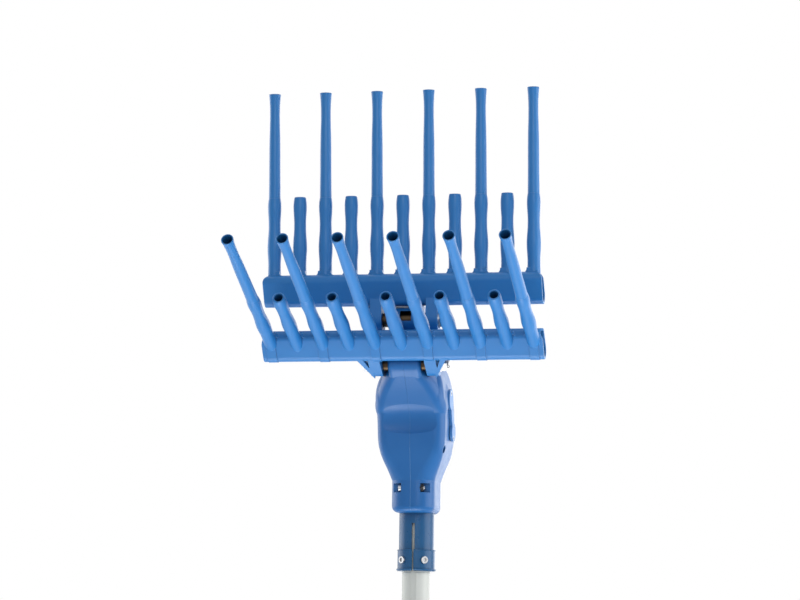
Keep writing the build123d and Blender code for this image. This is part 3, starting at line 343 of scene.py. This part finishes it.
# %% Worked metal
metal, metal_in, metal_out = new_group(
    "worked_metal",
    [("Colour", (0.6, 0.6, 0.6, 1.0)), ("Dull", (0.35, 0.35, 0.35, 1.0)),
     ("Shade", (0.03, 0.03, 0.03, 1.0)), ("Stretch X", 1.0), ("Stretch Y", 1.0), ("Stretch Z", 1.0),
     ("Lines", 800.0), ("Tarnish", 0.4), ("Edge Width", 0.0004), ("Crevice", 0.5),
     ("Crevice Reach", 0.006), ("Gloss", 0.3)],
    surface_outputs,
)
stain_scale, stain_gloss, line_share, worn_gloss = 60.0, 0.3, 0.5, 0.1
metal_place = metal.nodes.new("ShaderNodeTexCoord").outputs["Object"]
stretch = metal.nodes.new("ShaderNodeCombineXYZ")
for axis in "XYZ":
    metal.links.new(metal_in.outputs[f"Stretch {axis}"], stretch.inputs[axis])
drawn = metal.nodes.new("ShaderNodeVectorMath")
drawn.operation = "MULTIPLY"
metal.links.new(metal_place, drawn.inputs[0])
metal.links.new(stretch.outputs[0], drawn.inputs[1])
lines = noise(metal, drawn.outputs[0], metal_in.outputs["Lines"], 3.0, 0.6)
stain = noise(metal, metal_place, stain_scale, 4.0)
dull_share = math_node(metal, "ADD", math_node(metal, "MULTIPLY", lines, line_share), stain)
dull_share = math_node(metal, "MULTIPLY", dull_share, metal_in.outputs["Tarnish"])
metal_colour = mix_colour(metal, dull_share, metal_in.outputs["Colour"], metal_in.outputs["Dull"])
metal_normal, metal_edge = soft_edge(metal, metal_in.outputs["Edge Width"])
# Painted shade: in holes, gaps and corners the colour turns towards the Shade colour.
metal_painted_shade = crevice(metal, metal_in.outputs["Crevice Reach"])
shut_share = math_node(metal, "MULTIPLY", metal_painted_shade, metal_in.outputs["Crevice"])
metal_shaded = mix_colour(metal, shut_share, metal_colour, metal_in.outputs["Shade"])
metal.links.new(metal_shaded, metal_out.inputs["Colour"])
metal_shine = math_node(metal, "MULTIPLY", math_node(metal, "SUBTRACT", stain, 0.5), stain_gloss)
worn = math_node(metal, "MULTIPLY", metal_edge, worn_gloss)
metal_shine = math_node(metal, "SUBTRACT", metal_shine, worn)
metal_rough = math_node(metal, "ADD", metal_in.outputs["Gloss"], metal_shine)
metal.links.new(metal_rough, metal_out.inputs["Roughness"])
metal.links.new(lines, metal_out.inputs["Height"])
metal.links.new(metal_normal, metal_out.inputs["Normal"])
print("group", metal.name, len(metal.nodes), "nodes")

# %% [markdown]
# ## Finishes
# Each finish is a material of its own: a group feeds the colour, the roughness and a bump, and the
# numbers that don't change over the surface are set on the shader itself.

# %% Finish builder
shine_blur = 0.25
plastic_bump, plastic_depth, plastic_specular = 0.12, 0.0004, 0.35
metal_bump, metal_depth = 0.15, 0.0003


def finish_with(name, group, values, metallic, bump, depth, specular=0.5, shine=0.0):
    """A material whose colour, roughness and bump come from a surface group with these values."""
    material = bpy.data.materials.new(name)
    material.use_nodes = True
    tree = material.node_tree
    shader = tree.nodes["Principled BSDF"]
    effect = tree.nodes.new("ShaderNodeGroup")
    effect.node_tree = group
    for label, value in values.items():
        effect.inputs[label].default_value = value
    relief = tree.nodes.new("ShaderNodeBump")
    relief.inputs["Strength"].default_value = bump
    relief.inputs["Distance"].default_value = depth
    tree.links.new(effect.outputs["Height"], relief.inputs["Height"])
    tree.links.new(effect.outputs["Normal"], relief.inputs["Normal"])
    tree.links.new(effect.outputs["Colour"], shader.inputs["Base Color"])
    tree.links.new(effect.outputs["Roughness"], shader.inputs["Roughness"])
    tree.links.new(relief.outputs[0], shader.inputs["Normal"])
    shader.inputs["Metallic"].default_value = metallic
    shader.inputs["Specular IOR Level"].default_value = specular
    shader.inputs["Coat Weight"].default_value = shine
    shader.inputs["Coat Roughness"].default_value = shine_blur
    return material


def plastic(name, colour, pale, shine=0.0, **values):
    """A moulded plastic in one colour, paler on its edges."""
    settings = {"Colour": (*colour, 1.0), "Pale": (*pale, 1.0), **values}
    return finish_with(name, skin, settings, 0.0, plastic_bump, plastic_depth, plastic_specular, shine)


def worked(name, colour, dull, metallic=1.0, **values):
    """A bare or plated metal with fine lines."""
    settings = {"Colour": (*colour, 1.0), "Dull": (*dull, 1.0), **values}
    return finish_with(name, metal, settings, metallic, metal_bump, metal_depth)


print("finish builder ready")

# %% Plastics
harvest_blue = (0.015, 0.168, 0.46)
pale_blue = (0.25, 0.50, 0.85)
finishes = {
    "comb_plastic": plastic("comb_blue", harvest_blue, pale_blue, 0.1),
    "tine_plastic": plastic("tine_blue", harvest_blue, pale_blue, 0.15, Grain=1200.0),
    # The casing blue is darker than the comb blue as painted shade for the casing's front, which faces the
    # camera.
    "housing_plastic": plastic("casing_blue", (0.0085, 0.115, 0.35), pale_blue, Grain=1500.0, Gloss=0.36,
                               Edge=0.12, Seam=0.25),
    # The cover blue is paler than the casing as painted light: the glow of the backlight on the cover's
    # side.
    "cover_plastic": plastic("cover_blue", (0.06, 0.22, 0.52), (0.45, 0.62, 0.86), Grain=1500.0),
    "black_plastic": plastic("black_moulding", (0.02, 0.02, 0.022), (0.12, 0.12, 0.13)),
    "lead_rubber": plastic("lead_sheath", (0.015, 0.015, 0.016), (0.08, 0.08, 0.08), Gloss=0.6),
    "carbon": plastic("brush_carbon", (0.02, 0.02, 0.02), (0.06, 0.06, 0.06), Gloss=0.7),
}
print("plastics:", sorted(finishes))

# %% Paint and metals
finishes.update({
    "clamp_paint": plastic("clamp_enamel", (0.003, 0.080, 0.210), (0.10, 0.26, 0.42), Grain=500.0,
                           Gloss=0.30),
    "pole_aluminium": worked("pole_anodised", (0.58, 0.595, 0.56), (0.50, 0.52, 0.49), 0.1, Lines=900.0,
                             Tarnish=0.4, Crevice=0.1, **{"Stretch Z": 0.02, "Gloss": 0.5}),
    "bolt_steel": worked("zinc_plate", (0.56, 0.57, 0.59), (0.30, 0.30, 0.30), Gloss=0.32),
    # The bronze is darkened and its crevice shade made strong: painted shade, so the bushes in narrow gaps
    # read dark.
    "bronze": worked("bush_bronze", (0.085, 0.055, 0.03), (0.035, 0.022, 0.013), Gloss=0.35,
                     Crevice=0.95, **{"Stretch X": 0.05, "Crevice Reach": 0.014}),
    "gear_steel": worked("gear_steel", (0.45, 0.45, 0.47), (0.20, 0.20, 0.21), Gloss=0.30),
    "motor_steel": worked("motor_plate", (0.52, 0.53, 0.55), (0.30, 0.30, 0.31), Gloss=0.36,
                          **{"Stretch X": 0.05}),
    "magnet": worked("magnet_sinter", (0.06, 0.06, 0.065), (0.03, 0.03, 0.03), 0.6, Gloss=0.6),
    "copper": worked("commutator_copper", (0.75, 0.36, 0.20), (0.40, 0.18, 0.10), Gloss=0.3),
    "black_oxide": worked("nut_black", (0.03, 0.03, 0.033), (0.015, 0.015, 0.016), 0.5, Gloss=0.55),
    "rod_alloy": worked("rod_alloy", (0.60, 0.61, 0.63), (0.38, 0.38, 0.40), Gloss=0.45),
})
slot_of = {part["node"]: part["material_slot"] for part in frame["record"]["subparts"]}
for name, solid in nodes.items():
    solid.data.materials.clear()
    solid.data.materials.append(finishes[slot_of[name]])
print("dressed", len(nodes), "solids in", len(finishes), "finishes")

# %% [markdown]
# ## Small forms that repeat
# Rounded lips on the tine mouths, threads on the axle ends, beads on the clamp band and crosses in the screw
# heads each repeat one small form. Geometry Nodes makes such a form once and copies it to a list of points.
# Two node groups are enough: one draws open or closed rings, the other crosses. The result becomes a plain
# mesh before it joins the object.

# %% Ring group


def geometry_group(name, inputs):
    """A Geometry Nodes group that takes and gives geometry, with named inputs of its own."""
    group = bpy.data.node_groups.new(name, "GeometryNodeTree")
    group.interface.new_socket("Geometry", in_out="INPUT", socket_type="NodeSocketGeometry")
    for label, kind in inputs:
        group.interface.new_socket(label, in_out="INPUT", socket_type=kind)
    group.interface.new_socket("Geometry", in_out="OUTPUT", socket_type="NodeSocketGeometry")
    return group, group.nodes.new("NodeGroupInput"), group.nodes.new("NodeGroupOutput")


def copy_to_points(group, source, form, target):
    """Places a form on every point, turned, realized and with its finish set."""
    placed = group.nodes.new("GeometryNodeInstanceOnPoints")
    group.links.new(source.outputs["Geometry"], placed.inputs["Points"])
    group.links.new(form, placed.inputs["Instance"])
    group.links.new(source.outputs["Turn"], placed.inputs["Rotation"])
    solid = group.nodes.new("GeometryNodeRealizeInstances")
    group.links.new(placed.outputs["Instances"], solid.inputs["Geometry"])
    smooth = group.nodes.new("GeometryNodeSetShadeSmooth")
    group.links.new(solid.outputs["Geometry"], smooth.inputs["Geometry"])
    dressed = group.nodes.new("GeometryNodeSetMaterial")
    group.links.new(smooth.outputs["Geometry"], dressed.inputs["Geometry"])
    group.links.new(source.outputs["Finish"], dressed.inputs["Material"])
    group.links.new(dressed.outputs["Geometry"], target.inputs["Geometry"])


number_in, vector_in, finish_in = "NodeSocketFloat", "NodeSocketVector", "NodeSocketMaterial"
rings, rings_in, rings_out = geometry_group(
    "rings_on_points",
    [("Ring Radius", number_in), ("Wire Radius", number_in), ("Start", number_in), ("Sweep", number_in),
     ("Turn", vector_in), ("Finish", finish_in)],
)
ring_steps, wire_steps = 48, 12
arc = rings.nodes.new("GeometryNodeCurveArc")
arc.inputs["Resolution"].default_value = ring_steps
for label, socket in (("Ring Radius", "Radius"), ("Start", "Start Angle"), ("Sweep", "Sweep Angle")):
    rings.links.new(rings_in.outputs[label], arc.inputs[socket])
wire = rings.nodes.new("GeometryNodeCurvePrimitiveCircle")
wire.inputs["Resolution"].default_value = wire_steps
rings.links.new(rings_in.outputs["Wire Radius"], wire.inputs["Radius"])
ring = rings.nodes.new("GeometryNodeCurveToMesh")
ring.inputs["Fill Caps"].default_value = True
rings.links.new(arc.outputs["Curve"], ring.inputs["Curve"])
rings.links.new(wire.outputs["Curve"], ring.inputs["Profile Curve"])
copy_to_points(rings, rings_in, ring.outputs["Mesh"], rings_out)
print("group", rings.name, len(rings.nodes), "nodes")

# %% Cross group
crosses, crosses_in, crosses_out = geometry_group(
    "crosses_on_points",
    [("Long", vector_in), ("Short", vector_in), ("Turn", vector_in), ("Finish", finish_in)],
)
both_bars = crosses.nodes.new("GeometryNodeJoinGeometry")
for label in ("Short", "Long"):
    bar = crosses.nodes.new("GeometryNodeMeshCube")
    crosses.links.new(crosses_in.outputs[label], bar.inputs["Size"])
    crosses.links.new(bar.outputs["Mesh"], both_bars.inputs["Geometry"])
copy_to_points(crosses, crosses_in, both_bars.outputs["Geometry"], crosses_out)
print("group", crosses.name, len(crosses.nodes), "nodes")

# %% Piece maker


def repeat(name, points, group, body, slot, **values):
    """A piece made by a group on these points, as a plain mesh that rides on a body."""
    mesh = bpy.data.meshes.new(name)
    mesh.from_pydata([tuple(point) for point in points], [], [])
    piece = bpy.data.objects.new(name, mesh)
    bpy.context.collection.objects.link(piece)
    maker = piece.modifiers.new("maker", "NODES")
    maker.node_group = group
    sockets = {item.name: item.identifier for item in group.interface.items_tree if item.in_out == "INPUT"}
    maker[sockets["Finish"]] = finishes[slot]
    for label, value in values.items():
        maker[sockets[label.replace("_", " ")]] = value
    made = bpy.data.meshes.new_from_object(piece.evaluated_get(bpy.context.evaluated_depsgraph_get()))
    piece.modifiers.clear()
    piece.data = made
    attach(piece, body)
    print(name, len(points), "copies,", len(made.polygons), "faces")


full_turn = 2 * math.pi

# %% [markdown]
# The tine mouths sit at the far ends of the tine solids, so their centres are read from the solids: the
# points that lie furthest along the comb. The short stubs end half a pitch to the side and further back.

# %% Mouth lips
tine_count = 6
long_reach, short_reach = 0.214, 0.1015
rim_band = 0.0001
mouth_radius, mouth_lip = 0.0058, 0.00062
stub_radius, stub_lip = 0.00535, 0.0009
comb_lean = {"front": math.radians(66.5), "rear": math.radians(4.1)}


def mouth_centres(side, along):
    """Centres of the open ends of the long tines on one comb."""
    centres = []
    for number in range(1, tine_count + 1):
        points = [vertex.co for vertex in nodes[f"{side}_tine_{number}"].data.vertices]
        end = max(point.dot(along) for point in points)
        rim = [point for point in points if point.dot(along) > end - rim_band]
        centres.append(sum(rim, Vector()) / len(rim))
    return centres


for side, lean in comb_lean.items():
    along = Vector((0.0, -math.sin(lean), math.cos(lean)))
    long_ends = mouth_centres(side, along)
    short_ends = [(a + b) / 2 - along * (long_reach - short_reach) for a, b in zip(long_ends, long_ends[1:])]
    repeat(f"{side}_mouth_lips", long_ends, rings, f"{side}_swing", "tine_plastic",
           Ring_Radius=mouth_radius, Wire_Radius=mouth_lip, Sweep=full_turn, Turn=(lean, 0.0, 0.0))
    repeat(f"{side}_stub_lips", short_ends, rings, f"{side}_swing", "comb_plastic",
           Ring_Radius=stub_radius, Wire_Radius=stub_lip, Sweep=full_turn, Turn=(lean, 0.0, 0.0))

# %% [markdown]
# Each axle sticks out of its nut by a few turns of thread. Rings one pitch apart, square to X, stand for it.

# %% Axle threads
thread_pitch, thread_turns, thread_start = 0.0008, 2, 0.3
thread_radius, thread_crest = 0.005, 0.00034
across_x = (0.0, math.pi / 2, 0.0)
for side, outward in (("front", 1), ("rear", -1)):
    nut_low, nut_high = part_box(f"{side}_axle_nut")
    pivot = joint_at[f"{side}_comb_swing"]
    first = nut_high[0] if outward > 0 else nut_low[0]
    reaches = [outward * thread_pitch * (step + thread_start) for step in range(thread_turns)]
    turns = [(first + reach, pivot.y, pivot.z) for reach in reaches]
    repeat(f"{side}_axle_thread", turns, rings, f"{side}_swing", "bolt_steel",
           Ring_Radius=thread_radius, Wire_Radius=thread_crest, Sweep=full_turn, Turn=across_x)

# %% [markdown]
# The clamp band is rolled at both edges: a thin bead at the top and a thicker foot at the bottom. Both stop
# short of the band's gap at the front, so they are open rings.

# %% Band beads
band_low, band_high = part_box("clamp_band")
band_radius = (band_high[0] - band_low[0]) / 2
gap_half = 0.045
front_angle = -math.pi / 2
foot_rise, foot_bead, top_bead = 0.0016, 0.0012, 0.0006
beads = (
    ("band_foot_bead", band_low[2] + foot_rise, foot_bead),
    ("band_top_bead", band_high[2] - top_bead, top_bead),
)
for name, height, bead in beads:
    repeat(name, [(0.0, 0.0, height)], rings, "head", "clamp_paint", Ring_Radius=band_radius,
           Wire_Radius=bead, Start=front_angle + gap_half, Sweep=full_turn - 2 * gap_half)

# %% [markdown]
# The cover screws have cross recesses. A dark cross a hair proud of the head stands in for each recess; its
# black is painted shade.

# %% Screw crosses
cover_low, cover_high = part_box("cover_screws")
cross_long, cross_short, cross_thick = 0.0032, 0.0008, 0.0002
crank_place, motor_place = joint_at["crank_turn"], joint_at["rotor_turn"]
screw_offset = 0.0065
for side, x in (("left", cover_low[0]), ("right", cover_high[0])):
    places = [
        (x, crank_place.y, crank_place.z + screw_offset),
        (x, motor_place.y, motor_place.z - screw_offset),
    ]
    # Black crosses: painted shade standing in for the recesses.
    repeat(f"cover_screw_crosses_{side}", places, crosses, "head", "black_plastic",
           Long=(cross_thick, cross_long, cross_short), Short=(cross_thick, cross_short, cross_long))
